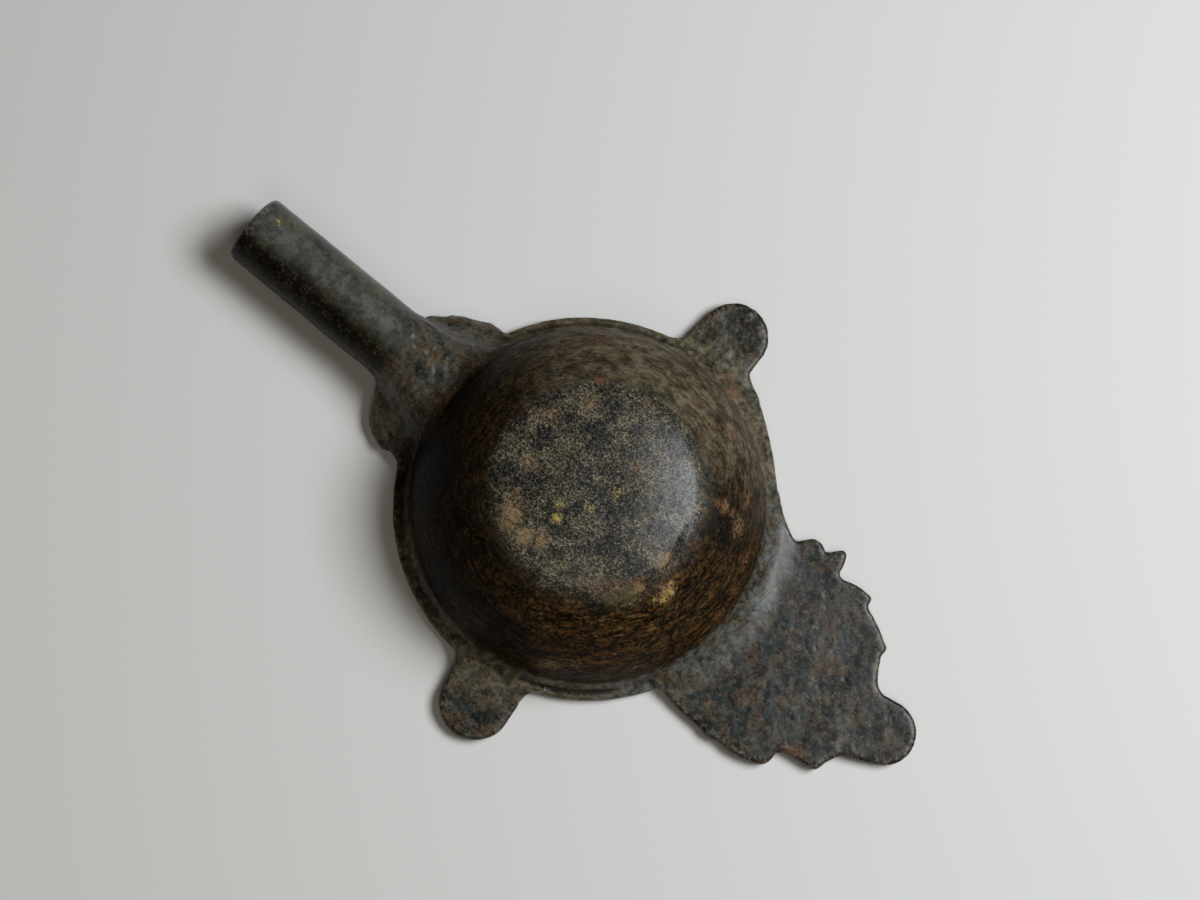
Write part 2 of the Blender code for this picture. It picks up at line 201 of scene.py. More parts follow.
RUST_DABS = RUSTY_CRUST + [
    (9.9, -12.4, 26.4, 2.0, 0.68), (12.4, -10.8, 26.0, 2.0, 0.75), (14.7, -8.2, 25.6, 1.8, 0.75),
    (7.4, -13.8, 26.0, 1.5, 0.52), (13.8, -4.7, 27.0, 1.6, 0.60), (-10.6, 13.6, 25.0, 1.4, 0.68),
    (-8.4, 13.3, 26.2, 1.1, 0.60), (-15.5, 19.8, 17.5, 4.0, 0.45), (-10.3, 25.0, 13.9, 4.0, 0.34),
    (-19.5, 15.2, 18.0, 3.6, 0.30), (15.7, 1.1, 26.2, 1.5, 0.45), (13.6, 8.6, 26.2, 1.6, 0.38),
    (6.6, 29.9, 4.0, 1.8, 0.68), (3.8, 31.6, 3.6, 1.4, 0.52), (26.0, 11.0, 12.0, 3.0, 0.38),
    (52.0, -10.0, 2.6, 2.2, 0.60), (40.0, -8.0, 2.6, 2.4, 0.45), (47.0, 6.0, 2.6, 2.0, 0.45),
    (36.0, 10.0, 3.0, 2.4, 0.38), (-60.0, -3.0, 9.0, 2.0, 0.60), (-50.0, -4.0, 7.0, 2.4, 0.45),
    (-44.0, -5.0, 8.0, 2.0, 0.38),
]
GREEN_DABS = [
    (14.6, -10.0, 24.7, 2.2, 0.9), (12.8, -11.9, 24.9, 2.0, 0.8), (12.0, -24.9, 12.4, 2.6, 0.5),
    (-7.7, 1.0, 27.0, 1.6, 0.6), (-4.0, -2.0, 27.0, 1.6, 0.5), (11.3, 10.8, 26.4, 2.0, 0.6),
    (13.6, 9.8, 25.3, 1.6, 0.6), (-66.0, 3.8, 10.0, 3.0, 0.6), (-50.0, 4.4, 10.0, 5.0, 0.4),
]
# Dark patches, and large dabs on the left of the wall that are painted shade
BLACK_DABS_AND_SHADE = [
    (18.2, 10.4, 22.4, 3.6, 1.0), (20.6, 7.4, 21.0, 3.2, 0.9), (17.6, -9.6, 23.4, 1.0, 0.8),
    (16.4, -11.6, 23.6, 1.2, 0.8), (-26.0, -2.0, 14.0, 9.0, 0.5), (-22.0, -14.0, 14.0, 11.0, 1.0),
    (-11.0, -25.0, 10.0, 9.0, 0.9), (3.0, -26.0, 12.0, 7.0, 0.6), (6.0, 2.0, 27.2, 3.0, 0.5),
    (7.5, -5.0, 27.2, 3.6, 0.6),
]

# Finishes: share of bare metal in a rub, streaks round the bowl, scratches and reach of the base disc
BARE_METAL = 0.35
STREAK_RADIUS = 22 * MM
STREAK_DRIFT = 1.2 * MM
SCRATCH_TURN = math.radians(-40.0)
BASE_FINISH_RADIUS = 19.8 * MM
BASE_FINISH_ABOVE = 18 * MM

# Camera as in the photo: its distance, then lengths and places in the photo's pixels
CAMERA_DISTANCE = 0.430
FOCAL_LENGTH = 2580.0
PHOTO_WIDTH = 1200.0
PHOTO_MIDDLE = (600.0, 450.0)
BOWL_SEEN_AT = (586.0, 508.0)
SENSOR_WIDTH = 36.0
# How far the view leans off the bowl's axis, which way it leans, and which way the spout runs in it
VIEW_LEAN = math.radians(8.4)
VIEW_LEAN_TOWARDS = math.radians(60.0)
SPOUT_TURN = math.radians(140.3)


# View and light


def camera_from_photo_angle():
    """Camera nearly above the base, leaning a little, spout to the upper left."""
    aim_across = (BOWL_SEEN_AT[0] - PHOTO_MIDDLE[0]) / FOCAL_LENGTH
    aim_up = (PHOTO_MIDDLE[1] - BOWL_SEEN_AT[1]) / FOCAL_LENGTH
    aim = Vector((aim_across, aim_up, -1.0)).normalized()
    back = -aim
    side = Vector((math.cos(VIEW_LEAN_TOWARDS), math.sin(VIEW_LEAN_TOWARDS), 0.0))
    side = (side - back * side.dot(back)).normalized()
    up = back * math.cos(VIEW_LEAN) + side * math.sin(VIEW_LEAN)
    spout = Vector((math.cos(SPOUT_TURN), math.sin(SPOUT_TURN), 0.0))
    spout = (spout - up * up.dot(spout)).normalized()
    across = up.cross(-spout)
    # Its rows are the view's right, up and back in the object's own axes
    turn = Matrix((-spout, across, up))
    place = Vector((AXIS_X, AXIS_Y, 0.0)) - turn @ (aim * CAMERA_DISTANCE)
    lens = bpy.data.cameras.new("camera")
    lens.sensor_width = SENSOR_WIDTH
    lens.lens = SENSOR_WIDTH * FOCAL_LENGTH / PHOTO_WIDTH
    lens.clip_start = 0.01
    camera = bpy.data.objects.new("camera", lens)
    bpy.context.scene.collection.objects.link(camera)
    camera.matrix_world = Matrix.Translation(place) @ turn.to_4x4()
    bpy.context.scene.camera = camera


def soft_light(name, direction, distance, width, height, power, tint):
    """Rectangular soft light that looks back at the bowl from a direction."""
    lamp = bpy.data.lights.new(name, "AREA")
    lamp.shape = "RECTANGLE"
    lamp.size = width
    lamp.size_y = height
    lamp.energy = power
    lamp.color = tint
    piece = bpy.data.objects.new(name, lamp)
    bpy.context.scene.collection.objects.link(piece)
    direction = Vector(direction).normalized()
    piece.location = Vector((AXIS_X, AXIS_Y, 0.01)) + direction * distance
    piece.rotation_euler = direction.to_track_quat("Z", "Y").to_euler()


def towards(turn, height):
    """Direction from its compass angle and its height above the floor, in degrees."""
    turn, height = math.radians(turn), math.radians(height)
    return (math.cos(turn) * math.cos(height), math.sin(turn) * math.cos(height), math.sin(height))


def stage():
    """Pale floor, dim warm surroundings, a cool window to one side and a weak warm light."""
    bpy.ops.mesh.primitive_plane_add(size=6.0, location=(0.0, 0.0, 0.0))
    floor = bpy.context.object
    floor.name = "floor"
    paint = bpy.data.materials.new("floor_paint")
    paint.use_nodes = True
    shader = paint.node_tree.nodes["Principled BSDF"]
    shader.inputs["Base Color"].default_value = (0.60, 0.585, 0.56, 1.0)
    shader.inputs["Roughness"].default_value = 0.85
    floor.data.materials.append(paint)
    world = bpy.data.worlds.new("studio")
    world.use_nodes = True
    sky = world.node_tree.nodes["Background"]
    sky.inputs["Color"].default_value = (1.0, 0.90, 0.76, 1.0)
    sky.inputs["Strength"].default_value = 0.05
    bpy.context.scene.world = world
    bpy.context.scene.view_settings.view_transform = "Standard"
    soft_light(
        "window", towards(turn=48.0, height=54.0),
        distance=0.60, width=0.32, height=0.26, power=4.4, tint=(0.91, 0.96, 1.0),
    )
    soft_light(
        "overhead", towards(turn=-60.0, height=62.0),
        distance=0.80, width=0.30, height=0.30, power=0.8, tint=(1.0, 0.92, 0.80),
    )


# Hand tools


def only(piece):
    """Make one piece the selected and active one."""
    bpy.ops.object.select_all(action="DESELECT")
    piece.select_set(True)
    bpy.context.view_layer.objects.active = piece


def arc(p, q, share, steps):
    """Points from p up to q on the arc that bulges to the right of p to q."""
    p, q = Vector(p), Vector(q)
    if abs(share) < 1e-6:
        return [tuple(p)]
    chord = q - p
    rise = abs(share) * chord.length
    radius = (chord.length_squared / 4 + rise * rise) / (2 * rise)
    sign = 1 if share > 0 else -1
    out = Vector((chord.y, -chord.x)).normalized() * sign
    middle = (p + q) / 2 + out * (rise - radius)
    first = p - middle
    half = math.asin(min(1.0, chord.length / 2 / radius))
    if rise > radius:
        half = math.pi - half
    points = []
    for i in range(steps):
        a = 2 * half * sign * i / steps
        points.append((
            middle.x + math.cos(a) * first.x - math.sin(a) * first.y,
            middle.y + math.sin(a) * first.x + math.cos(a) * first.y,
        ))
    return points


def pick_all_faces():
    """Start to edit the active piece with all its faces selected."""
    bpy.ops.object.mode_set(mode="EDIT")
    bpy.ops.mesh.select_mode(type="FACE")
    bpy.ops.mesh.select_all(action="SELECT")


def turn_faces_outwards():
    """Turn all faces outwards and stop editing."""
    bpy.ops.mesh.select_all(action="SELECT")
    bpy.ops.mesh.normals_make_consistent(inside=False)
    bpy.ops.object.mode_set(mode="OBJECT")


def lathe(name, rings, sides=SIDES, centre=(AXIS_X, AXIS_Y)):
    """Turned solid, about the bowl's axis if no other is given: a disc whose face is
    pulled from ring to ring, each ring a radius and a height."""
    radius, height = rings[0]
    bpy.ops.object.select_all(action="DESELECT")
    bpy.ops.mesh.primitive_circle_add(
        vertices=sides, radius=radius, fill_type="NGON", location=(*centre, height)
    )
    piece = bpy.context.object
    piece.name = name
    pick_all_faces()
    for new_radius, new_height in rings[1:]:
        bpy.ops.mesh.extrude_region_move(
            TRANSFORM_OT_translate={"value": (0.0, 0.0, new_height - height)}
        )
        grow = new_radius / radius
        bpy.ops.transform.resize(value=(grow, grow, 1.0), center_override=(*centre, new_height))
        radius, height = new_radius, new_height
    turn_faces_outwards()
    return settle(piece)


def pulled_tube(name, rings, sides=64):
    """Rod along X: an upright disc whose face is pulled from ring to ring, each ring
    a place along X, a half width and a half height."""
    x, wide, tall = rings[0]
    bpy.ops.object.select_all(action="DESELECT")
    bpy.ops.mesh.primitive_circle_add(
        vertices=sides, radius=wide, fill_type="NGON",
        location=(AXIS_X + x, AXIS_Y, SPOUT_HEIGHT), rotation=(0.0, math.pi / 2, 0.0),
    )
    piece = bpy.context.object
    piece.name = name
    bpy.ops.object.transform_apply(location=True, rotation=True, scale=True)
    pick_all_faces()
    for new_x, new_wide, new_tall in rings[1:]:
        bpy.ops.mesh.extrude_region_move(TRANSFORM_OT_translate={"value": (new_x - x, 0.0, 0.0)})
        bpy.ops.transform.resize(
            value=(1.0, new_wide / wide, new_tall / tall),
            center_override=(AXIS_X + new_x, AXIS_Y, SPOUT_HEIGHT),
        )
        x, wide, tall = new_x, new_wide, new_tall
    turn_faces_outwards()
    return settle(piece)


def flat_plate(name, outline, bottom, top):
    """Upright slab with the given outline: a filled flat curve, raised, made a mesh."""
    curve = bpy.data.curves.new(name, "CURVE")
    curve.dimensions = "2D"
    curve.fill_mode = "BOTH"
    curve.extrude = (top - bottom) / 2
    line = curve.splines.new("POLY")
    line.points.add(len(outline) - 1)
    for point, (x, y) in zip(line.points, outline):
        point.co = (x, y, 0.0, 1.0)
    line.use_cyclic_u = True
    piece = bpy.data.objects.new(name, curve)
    bpy.context.scene.collection.objects.link(piece)
    only(piece)
    bpy.ops.object.convert(target="MESH")
    piece = bpy.context.object
    piece.location = (AXIS_X, AXIS_Y, (top + bottom) / 2)
    settle(piece)
    bpy.ops.object.mode_set(mode="EDIT")
    bpy.ops.mesh.select_all(action="SELECT")
    bpy.ops.mesh.remove_doubles(threshold=MM / 1000)
    turn_faces_outwards()
    return piece


def settle(piece):
    """Put a piece's place into its mesh."""
    only(piece)
    bpy.ops.object.transform_apply(location=True, rotation=True, scale=True)
    return piece


def apply_modifier(piece, name, kind, **settings):
    """Add a modifier to the active piece and apply it at once."""
    step = piece.modifiers.new(name, kind)
    for key, value in settings.items():
        setattr(step, key, value)
    bpy.ops.object.modifier_apply(modifier=step.name)


def cut_or_join(piece, other, how):
    """Join two solids, or cut one with the other, and drop the other."""
    only(piece)
    apply_modifier(piece, how.lower(), "BOOLEAN", operation=how, solver="EXACT", object=other)
    bpy.data.objects.remove(other)


# The casting


def wall_curve(start, foot, rise, steps):
    """The wall's curve from the base's shoulder down to just over its foot."""
    share = rise / math.hypot(foot[0] - start[0], foot[1] - start[1])
    points = arc((-start[0], start[1]), (-foot[0], foot[1]), share, steps)
    return [(-x, z) for x, z in points]


def outer_rings():
    """Outside of the bowl, from the base down over wall, groove and lip."""
    rings = [(BASE_FLAT_RADIUS, BOWL_HEIGHT)]
    edge = (SHOULDER_RADIUS - SHOULDER_ROUND, BOWL_HEIGHT - BASE_CROWN)
    for i in range(1, 12):
        t = i / 12
        rings.append((
            BASE_FLAT_RADIUS + (edge[0] - BASE_FLAT_RADIUS) * t,
            BOWL_HEIGHT + (edge[1] - BOWL_HEIGHT) * t * t,
        ))
    rings.append(edge)
    rings.append((SHOULDER_RADIUS - SHOULDER_ROUND * 0.45, SHOULDER_HEIGHT - SHOULDER_ROUND * 0.20))
    start = (SHOULDER_RADIUS, SHOULDER_HEIGHT - SHOULDER_ROUND * 0.40)
    foot = (WALL_FOOT_RADIUS, WALL_FOOT_HEIGHT)
    rings += wall_curve(start, foot, WALL_SAGITTA, 30)
    rings.append(foot)
    bead = LIP_RADIUS - LIP_BEAD_WIDTH
    inner = WALL_FOOT_RADIUS + LIP_FILLET
    for i in range(1, 6):
        a = math.radians(90 * i / 5)
        rings.append((
            inner - (inner - WALL_FOOT_RADIUS) * math.cos(a),
            LIP_THICK + (WALL_FOOT_HEIGHT - LIP_THICK) * (1 - math.sin(a)),
        ))
    rings.append((bead - GROOVE_WIDTH, LIP_THICK))
    rings.append((bead - GROOVE_WIDTH * 0.7, LIP_THICK - GROOVE_DEPTH))
    rings.append((bead - GROOVE_WIDTH * 0.3, LIP_THICK - GROOVE_DEPTH))
    rings.append((bead, LIP_THICK - GROOVE_DEPTH * 0.25))
    rings.append((LIP_RADIUS - LIP_EDGE_ROUND, LIP_THICK - 0.05 * MM))
    for i in range(1, 5):
        a = math.radians(90 * i / 4)
        rings.append((
            LIP_RADIUS - LIP_EDGE_ROUND * (1 - math.sin(a)),
            LIP_THICK - 0.05 * MM - LIP_EDGE_ROUND * (1 - math.cos(a)),
        ))
    rings.append((LIP_RADIUS, -BELOW_REST))
    return rings


def inner_rings():
    """The hollow, even under the outside, opening a little at the mouth."""
    top = BOWL_HEIGHT - BASE_THICK
    start = (SHOULDER_RADIUS - WALL_THICK * 0.7, SHOULDER_HEIGHT - WALL_THICK)
    foot = (WALL_FOOT_RADIUS - WALL_THICK, WALL_FOOT_HEIGHT)
    rings = [(start[0] * 0.3, top), (start[0] * 0.6, top - BASE_THICK * 0.04)]
    rings.append((start[0] * 0.8, top - 0.45 * (top - start[1])))
    rings += wall_curve(start, foot, WALL_SAGITTA * 0.98, 26)
    rings += [foot, (foot[0] + MOUTH_SPLAY, LIP_THICK * 0.25), (foot[0] + MOUTH_SPLAY, -BELOW_REST * 3)]
    return rings


def fillet_sheet_rings():
    """Broad sheet with the hollow fillet that runs up against the wall."""
    wall = WALL_FOOT_RADIUS - PLATE_FILLET * 0.11
    top = PLATE_THICK + PLATE_FILLET
    rings = [(wall, top)]
    for i in range(1, 10):
        a = math.radians(90 * i / 9)
        rings.append((wall + FILLET_REACH * (1 - math.cos(a)), top - PLATE_FILLET * math.sin(a)))
    rings += [(HANDLE_REACH * 1.15, PLATE_THICK), (HANDLE_REACH * 1.15, -BELOW_REST * 6)]
    return rings


def arcs_outline(rows, place, steps):
    """Closed outline of arcs; place turns the two numbers of a row into metres."""
    spots = [place(a, b) for a, b, _ in rows]
    points = []
    for i, (_, _, share) in enumerate(rows):
        points += arc(spots[i], spots[(i + 1) % len(rows)], share, steps)
    return points


def ear_outline(direction, neck, lobe_at, lobe_radius, first, last):
    """Round lobe on a neck that spreads in two hollow curves to the lip."""
    cosine, sine = math.cos(math.radians(direction)), math.sin(math.radians(direction))

    def place(along, across):
        return (cosine * along - sine * across, sine * along + cosine * across)

    def on_lip(across, share):
        turn = math.asin(across / LIP_RADIUS)
        return place(LIP_RADIUS * share * math.cos(turn), LIP_RADIUS * share * math.sin(turn))

    neck_at = LIP_RADIUS + (lobe_at - LIP_RADIUS) * EAR_NECK_SHARE
    points = [on_lip(-first[0], EAR_SUNK), on_lip(last[0], EAR_SUNK)]
    points += arc(on_lip(last[0], EAR_START), place(neck_at, neck), last[1], 8)
    points += arc(place(neck_at, neck), place(lobe_at, lobe_radius), 0.02, 3)
    for i in range(25):
        a = math.pi / 2 - math.pi * i / 24
        points.append(place(lobe_at + lobe_radius * math.cos(a), lobe_radius * math.sin(a)))
    points += arc(place(neck_at, -neck), on_lip(-first[0], EAR_START), first[1], 10)
    points.append(on_lip(-first[0], EAR_START))
    return points


def spout_rings():
    """Rounded end, faint taper, then the root that widens sideways into the bowl."""
    end = SPOUT_TIP_RADIUS - SPOUT_END_ROUND
    straight = SPOUT_REACH - SPOUT_END_ROUND - SPOUT_FLARE_START
    rings = [(-SPOUT_REACH, end, end)]
    for i in range(1, 6):
        a = math.radians(90 * i / 5)
        r = end + SPOUT_END_ROUND * math.sin(a)
        rings.append((-SPOUT_REACH + SPOUT_END_ROUND * (1 - math.cos(a)), r, r))
    for i in range(1, 9):
        t = i / 8
        r = SPOUT_TIP_RADIUS + (SPOUT_ROOT_RADIUS - SPOUT_TIP_RADIUS) * t
        rings.append((-SPOUT_REACH + SPOUT_END_ROUND + straight * t, r, r))
    last = WALL_FOOT_RADIUS - WALL_THICK * 0.45
    for i in range(1, 13):
        t = i / 12
        wide = SPOUT_ROOT_RADIUS + (SPOUT_FLARE_HALF_WIDTH - SPOUT_ROOT_RADIUS) * t**1.6
        rings.append((-(SPOUT_FLARE_START + (last - SPOUT_FLARE_START) * t), wide, SPOUT_ROOT_RADIUS))
    rings.append((-(WALL_FOOT_RADIUS - WALL_THICK * 1.6), SPOUT_FLARE_HALF_WIDTH, SPOUT_ROOT_RADIUS))
    return rings


def collar_bell():
    """Bell-shaped mound, highest where the spout leaves the bowl."""
    rings = [(radius * MM, height * MM) for radius, height in COLLAR_BELL]
    return lathe("collar_bell", rings, 96, (AXIS_X + COLLAR_BELL_AT, AXIS_Y))


def cast_whole():
    """Bowl, plates and spout as one closed metal body."""
    casting = lathe("casting", outer_rings())
    span = HANDLE_REACH - LIP_RADIUS
    outlines = {
        "handle": arcs_outline(HANDLE_ARCS, lambda a, b: (LIP_RADIUS + a * span, b * HANDLE_HALF_WIDTH), 10)
    }
    for name, ear in EARS.items():
        outlines[name] = ear_outline(*ear)
    # Each solid has its own depth and count of sides, so that no two faces lie in each other
    for n, (name, outline) in enumerate(outlines.items()):
        plate = flat_plate(name, outline, -BELOW_REST * (1.4 + 0.4 * n), OUTLINE_TOP)
        cut_or_join(plate, lathe("fillet_sheet", fillet_sheet_rings(), SIDES - 5 - 2 * n), "INTERSECT")
        cut_or_join(casting, plate, "UNION")
    collar = arcs_outline(COLLAR_ARCS, lambda a, b: (a * LIP_RADIUS, b * SPOUT_FLARE_HALF_WIDTH), 8)
    plate = flat_plate("collar", collar, -BELOW_REST * 2.6, COLLAR_TOP)
    cut_or_join(plate, collar_bell(), "INTERSECT")
    cut_or_join(casting, plate, "UNION")
    cut_or_join(casting, pulled_tube("spout", spout_rings()), "UNION")
    only(casting)
    bpy.ops.object.mode_set(mode="EDIT")
    bpy.ops.mesh.select_all(action="SELECT")
    bpy.ops.mesh.bisect(
        plane_co=(0.0, 0.0, 0.0), plane_no=(0.0, 0.0, 1.0), use_fill=True, clear_inner=True
    )
    bpy.ops.object.mode_set(mode="OBJECT")
    cut_or_join(casting, lathe("hollow", inner_rings(), SIDES - 14), "DIFFERENCE")
    start, stop = -SPOUT_REACH * 1.07, -WALL_FOOT_RADIUS * 0.62
    bore = pulled_tube("bore", [(start, BORE_RADIUS, BORE_RADIUS), (stop, BORE_RADIUS, BORE_RADIUS)], 48)
    cut_or_join(casting, bore, "DIFFERENCE")
    return casting


def fine_skin(casting):
    """One even fine skin, with every edge worn round."""
    only(casting)
    apply_modifier(casting, "skin", "REMESH", mode="VOXEL", voxel_size=SKIN_GRID)
    apply_modifier(casting, "worn_round", "SMOOTH", factor=0.5, iterations=6)
    # The spout's root and the feet of the wall run together softly
    group = casting.vertex_groups.new(name="root")
    for corner in casting.data.vertices:
        x, y, z = corner.co.x - AXIS_X, corner.co.y - AXIS_Y, corner.co.z
        r = math.hypot(x, y)
        near_root = -48 * MM < x < -24 * MM and abs(y) < 16 * MM and z > 2.6 * MM and r > 27.6 * MM
        if near_root and math.hypot(y, z - SPOUT_HEIGHT) > BORE_RADIUS + 0.9 * MM:
            fade = min(1.0, (z - 2.6 * MM) / (1.5 * MM), (x + 48 * MM) / (6 * MM))
            group.add([corner.index], max(0.0, fade), "REPLACE")
        elif 28.5 * MM < r < 30.5 * MM and z > 2.0 * MM:
            fade = min(1.0, (r - 28.5 * MM) / (0.6 * MM), (30.5 * MM - r) / (0.4 * MM))
            group.add([corner.index], fade, "REPLACE")
    apply_modifier(casting, "soft_root", "SMOOTH", factor=0.6, iterations=80, vertex_group=group.name)
    casting.vertex_groups.clear()


# Work on the skin


def ease(value, low, high):
    """0 at low, 1 at high, eased between; low may be above high."""
    t = np.clip((value - low) / (high - low), 0.0, 1.0)
    return t * t * (3.0 - 2.0 * t)


class Skin:
    """The casting's mesh as arrays, for work that a modeller does by sculpting."""

    def __init__(self, piece):
        self.mesh = piece.data
        count = len(self.mesh.vertices)
        flat = np.empty(count * 3)
        self.mesh.vertices.foreach_get("co", flat)
        self.at = flat.reshape(-1, 3)
        edges = np.empty(len(self.mesh.edges) * 2, dtype=np.int64)
        self.mesh.edges.foreach_get("vertices", edges)
        self.edges = edges.reshape(-1, 2)
        self.neighbours = np.bincount(self.edges.ravel(), minlength=count)
        self.measure()

    def measure(self):
        """Normals and the places seen from the bowl's own axis."""
        flat = np.empty(len(self.mesh.vertices) * 3)
        self.mesh.vertices.foreach_get("normal", flat)
        self.normal = flat.reshape(-1, 3)
        self.x = self.at[:, 0] - AXIS_X
        self.y = self.at[:, 1] - AXIS_Y
        self.z = self.at[:, 2]
        self.r = np.hypot(self.x, self.y)
        self.turn = np.degrees(np.arctan2(self.y, self.x))

    def spread(self, values, rounds):
        """Average each value with its neighbours, a number of times."""
        a, b = self.edges[:, 0], self.edges[:, 1]
        count = len(self.neighbours)
        values = np.array(values, dtype=float)
        columns = values.reshape(count, -1)
        for _ in range(rounds):
            for k in range(columns.shape[1]):
                column = columns[:, k]
                total = np.bincount(a, column[b], count) + np.bincount(b, column[a], count)
                columns[:, k] = 0.5 * column + 0.5 * total / self.neighbours
        return columns.reshape(values.shape)

    def push(self, offset):
        """Move every point along its normal by its own offset."""
        self.at = self.at + self.normal * offset[:, None]
        self.at[:, 2] = np.maximum(self.at[:, 2], 0.0)
        self.mesh.vertices.foreach_set("co", self.at.ravel())
        self.mesh.update()
        self.measure()

    def keep(self, name, values):
        """Store a value per point for the material to read."""
        layer = self.mesh.attributes.new(name, "FLOAT", "POINT")
        layer.data.foreach_set("value", np.ascontiguousarray(values, dtype=np.float32))


def lumps(points, size, seed, octaves):
    """Smooth noise around 0 with lumps of the given size."""
    shift = Vector((seed * 7.13, seed * 3.71, seed * 5.37))
    return np.array([mathutils.noise.fractal(Vector(p) / size + shift, 0.9, 2.0, octaves) for p in points])


def zones(skin):
    """How far each point belongs to the base disc, wall, plates, spout or inside."""
    heights, radii = (np.array(column) * MM for column in zip(*INSIDE_WALL))
    inside_wall = np.interp(skin.z, heights, radii)
    from_bore = np.hypot(skin.y, skin.z - SPOUT_HEIGHT)
    hollow = (skin.r < inside_wall) & (skin.z < HOLLOW_TOP)
    bore = (skin.x < -24 * MM) & (from_bore < BORE_RADIUS + 0.5 * MM) & (skin.x > -SPOUT_REACH + 0.8 * MM)
    within = (hollow | bore).astype(float)
    spout = ease(-skin.x, 37 * MM, 44 * MM) * ease(np.abs(skin.y), 11 * MM, 8 * MM)
    root = ease(-skin.x, 26 * MM, 33 * MM) * ease(np.abs(skin.y), 17 * MM, 13 * MM) * (1 - spout)
    base = ease(skin.r, 19.6 * MM, 14.8 * MM) * ease(skin.z, 21 * MM, 25 * MM)
    bowl = ease(skin.r, 30.6 * MM, 28.9 * MM) * ease(skin.z, 2.8 * MM, 5.2 * MM)
    wall = bowl * (1 - base) * (1 - root) * (1 - spout)
    plate = (1 - bowl) * (1 - spout) * (1 - root) * ease(skin.r, 29.5 * MM, 32.0 * MM)
    ear = plate * ease(np.abs(skin.turn), 55.0, 70.0) * ease(skin.r, 31.0 * MM, 34.0 * MM)
    lip = np.zeros(len(skin.at))
    for start, stop, share in FREE_LIP:
        shown = ease(skin.turn, start, start + 6.0) * ease(skin.turn, stop, stop - 6.0)
        lip = np.maximum(lip, shown * share)
    lip *= ease(skin.z, 0.9 * MM, 1.8 * MM) * ease(skin.r, 29.0 * MM, 29.9 * MM)
    return {
        "within": within, "spout": spout, "root": root, "base": base,
        "wall": wall, "plate": plate, "ear": ear, "lip": lip,
    }


def thin_out_inside(casting):
    """Coarser faces in the hollow, the bore and the flat underside."""
    skin = Skin(casting)
    zone = zones(skin)
    group = casting.vertex_groups.new(name="coarse")
    chosen = (zone["within"] > 0.5) | (skin.z < 0.1 * MM)
    group.add([int(i) for i in np.flatnonzero(chosen)], 1.0, "REPLACE")
    only(casting)
    apply_modifier(
        casting, "thin_out", "DECIMATE",
        ratio=KEPT_SHARE, vertex_group=group.name, use_collapse_triangulate=True,
    )
    casting.vertex_groups.clear()


def sculpt(skin, zone):
    """Unevenness, crevice, lip groove, crust, casting holes and cast pits."""
    out = 1.0 - zone["within"]
    rough = np.clip(zone["plate"] + zone["root"] + 0.25 * zone["spout"], 0.0, 1.0)
    above = ease(skin.z, 0.0, 0.8 * MM)
    broad = lumps(skin.at, size=14 * MM, seed=1, octaves=2)
    middle = lumps(skin.at, size=3.2 * MM, seed=2, octaves=3)
    small = lumps(skin.at, size=1.1 * MM, seed=3, octaves=3)
    offset = broad * 0.16 * MM * above
    offset += middle * (0.03 + 0.025 * rough + 0.26 * zone["root"] + 0.07 * zone["ear"]) * MM * out * above
    offset += small * (0.008 + 0.012 * rough + 0.12 * zone["root"] + 0.05 * zone["ear"]) * MM * out * above
    offset -= CREVICE_DEPTH * along(skin, CREVICE, CREVICE_WIDTH)
    from_groove = (skin.r - LIP_GROOVE_AT) / LIP_GROOVE_SPREAD
    offset -= LIP_GROOVE_DEPTH * zone["lip"] * np.exp(-(from_groove**2))
    offset += dab(skin, CRUST_DABS) * (0.14 + 0.30 * small) * MM
    offset -= dab(skin, COLLAR_HOLES) * COLLAR_HOLE_DEPTH
    skin.push(offset)
    dig_pits(skin, rough * above * out, count=300, radii=(0.3 * MM, 0.7 * MM), depths=(0.04, 0.13), seed=11)
    even = zone["wall"] + zone["spout"] + 0.4 * zone["base"]
    dig_pits(skin, even * above * out, count=220, radii=(0.35 * MM, 0.7 * MM), depths=(0.05, 0.14), seed=12)


def off_stretch(here, p, q):
    """Squared distance of a place from the straight stretch between two points."""
    foot, share = mathutils.geometry.intersect_point_line(here, p, q)
    if 0.0 <= share <= 1.0:
        return (here - foot).length_squared
    return min((here - p).length_squared, (here - q).length_squared)


def along(skin, path, width):
    """1 on a line through places in mm from the bowl's axis, fading over the width."""
    points = [Vector(spot) * MM for spot in path]
    middle = sum(points, Vector()) / len(points)
    reach = max((p - middle).length for p in points) + 4 * width
    total = np.zeros(len(skin.at))
    near = (skin.x - middle.x) ** 2 + (skin.y - middle.y) ** 2 + (skin.z - middle.z) ** 2 < reach * reach
    for i in np.flatnonzero(near):
        here = Vector((skin.x[i], skin.y[i], skin.z[i]))
        square = min(off_stretch(here, p, q) for p, q in zip(points, points[1:]))
        total[i] = math.exp(-square / (width * width))
    return total


def dig_pits(skin, where, count, radii, depths, seed):
    """Round pits, as gas and sand leave them in a casting, at seeded places."""
    rng = np.random.default_rng(seed)
    chance = np.clip(where, 0.0, 1.0) ** 2
    centres = rng.choice(len(chance), size=count, replace=False, p=chance / chance.sum())
    tree = KDTree(len(skin.at))
    for i, p in enumerate(skin.at):
        tree.insert(p, i)
    tree.balance()
    offset = np.zeros(len(skin.at))
    for centre in centres:
        radius = rng.uniform(*radii) * rng.uniform(0.6, 1.0)
        depth = radius * rng.uniform(*depths)
        for _, i, distance in tree.find_range(skin.at[centre], radius * 1.5):
            t = distance / radius
            if t < 1.0:
                offset[i] -= depth * PIT_MIDDLE * (1 - t * t) ** 2
            else:
                offset[i] += depth * PIT_RIM * (1.5 - t)
    skin.push(np.maximum(offset, -PIT_LIMIT))


